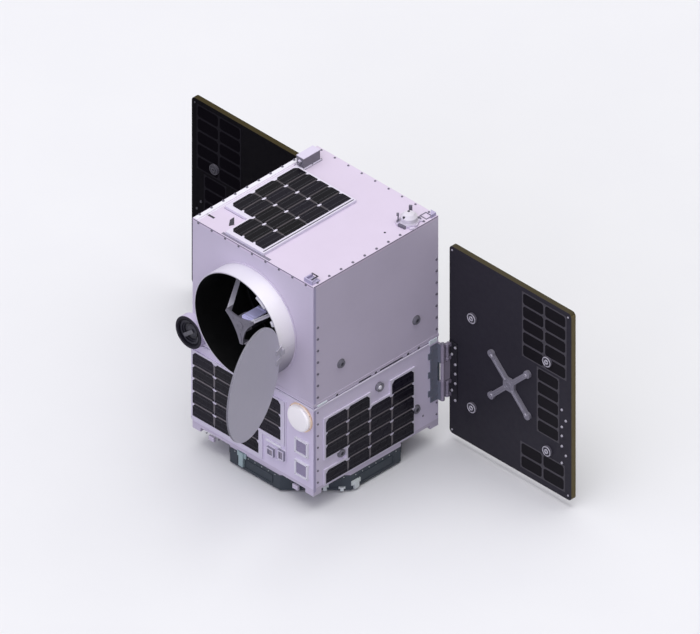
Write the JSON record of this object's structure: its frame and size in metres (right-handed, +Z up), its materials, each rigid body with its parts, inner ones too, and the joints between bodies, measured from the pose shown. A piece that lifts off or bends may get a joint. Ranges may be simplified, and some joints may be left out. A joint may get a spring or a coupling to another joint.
{
  "type": "small box satellite with a telescope and two folding solar wings",
  "caption": "Box-shaped microsatellite with a front telescope under a hinged cover, body-mounted solar cells and two solar wings that fold against its sides.",
  "frame": {"origin": "centre of the separation ring's underside, on the surface that the satellite stands on", "axes": "+X to the right seen from the front, -Y to the front where the telescope looks, +Z up"},
  "size_m": [1.414, 0.8792, 0.763],
  "materials": {
    "white_paint": "satin white thermal paint",
    "panel_paint": "satin white thermal paint",
    "tube_paint": "smooth white paint, black inside",
    "black_paint": "matt black paint",
    "dark_anodised": "dark hard-anodised",
    "grey_anodised": "grey anodised",
    "bare_aluminium": "machined",
    "steel": "brushed",
    "cell_glass": "dark solar cell under cover glass",
    "board_paint": "satin",
    "wing_face": "dark carbon-fibre skin, olive edge",
    "mirror_coat": "polished, aluminised",
    "blue_coat": "pale blue coating",
    "dome_white": "matt radome",
    "gold": "gold-coloured plating",
    "connector": "moulded"
  },
  "bodies": {
    "bus": {"separation_ring": "steel", "adapter": "dark_anodised", "release_clips": "bare_aluminium", "base_plate": "panel_paint", "corner_feet": "panel_paint", "avionics": "dark_anodised", "panel_lower_front": "panel_paint", "panel_lower_rear": "panel_paint", "panel_lower_right": "panel_paint", "panel_lower_left": "panel_paint", "panel_upper_front": "panel_paint", "panel_upper_rear": "panel_paint", "panel_upper_right": "panel_paint", "panel_upper_left": "panel_paint", "mid_deck": "panel_paint", "panel_top": "white_paint", "telescope_tube": "tube_paint", "telescope_collar": "tube_paint", "primary_mirror": "mirror_coat", "central_baffle": "black_paint", "secondary_spider": "grey_anodised", "secondary_cell": "grey_anodised", "secondary_drive": "blue_coat", "front_board": "board_paint", "front_cells": "cell_glass", "right_board": "board_paint", "right_cells": "cell_glass", "left_board": "board_paint", "left_cells": "cell_glass", "top_board": "board_paint", "top_cells": "cell_glass", "star_tracker": "black_paint", "star_tracker_lens": "cell_glass", "patch_antenna": "dome_white", "patch_antenna_base": "gold", "sun_sensors": "white_paint", "test_connectors": "connector", "side_cups": "dark_anodised", "hinge_leaf_right": "dark_anodised", "hinge_leaf_left": "dark_anodised", "top_box": "panel_paint", "dome_antenna": "dome_white", "dome_antenna_base": "white_paint", "top_brackets": "bare_aluminium", "cover_hinge_lug": "bare_aluminium"},
    "cover": {"cover_disc": "white_paint", "cover_hinge_arms": "bare_aluminium"},
    "wing_right": {"wing_right_panel": "wing_face", "wing_right_cells": "cell_glass", "wing_right_cross": "grey_anodised", "wing_right_snubbers": "grey_anodised", "wing_right_hinge": "dark_anodised"},
    "wing_left": {"wing_left_panel": "wing_face", "wing_left_cells": "cell_glass", "wing_left_cross": "grey_anodised", "wing_left_snubbers": "grey_anodised", "wing_left_hinge": "dark_anodised"}
  },
  "joints": [
    {"name": "cover_hinge", "type": "hinge", "parent": "bus", "child": "cover", "pos_m": [0.164, -0.2955, 0.519], "axis": [0, 0, 1], "range_deg": [-109.2, 0]},
    {"name": "wing_right_hinge", "type": "hinge", "parent": "bus", "child": "wing_right", "pos_m": [0.239, 0.2345, 0.231], "axis": [0, 0, 1], "range_deg": [-90, 0]},
    {"name": "wing_left_hinge", "type": "hinge", "parent": "bus", "child": "wing_left", "pos_m": [-0.271, 0.2345, 0.231], "axis": [0, 0, 1], "range_deg": [0, 90]}
  ]
}
